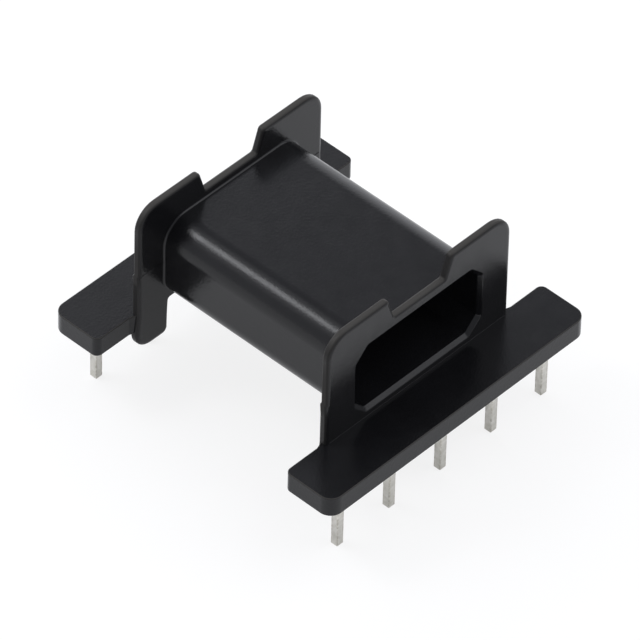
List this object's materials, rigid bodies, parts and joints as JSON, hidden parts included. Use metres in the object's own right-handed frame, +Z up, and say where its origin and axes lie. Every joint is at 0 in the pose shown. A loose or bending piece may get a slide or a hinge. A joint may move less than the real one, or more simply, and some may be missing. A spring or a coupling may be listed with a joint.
{
  "type": "transformer bobbin",
  "caption": "Low coil former with a flat rectangular tube between notched flanges and pin rails, wound with wire, fitted with a core and soldered to a circuit board.",
  "frame": {"origin": "middle of the pin grid, at the level of the pin tips", "axes": "+Z up, +X along the pin rows, +Y along the tube's bore"},
  "size_m": [0.025, 0.026, 0.016],
  "materials": {
    "body": "glossy black moulded plastic",
    "pins": "dull tinned wire"
  },
  "bodies": {
    "root": {"bobbin_body": "body", "pin_1": "pins", "pin_2": "pins", "pin_3": "pins", "pin_4": "pins", "pin_5": "pins", "pin_6": "pins", "pin_7": "pins", "pin_8": "pins", "pin_9": "pins", "pin_10": "pins"}
  },
  "joints": []
}
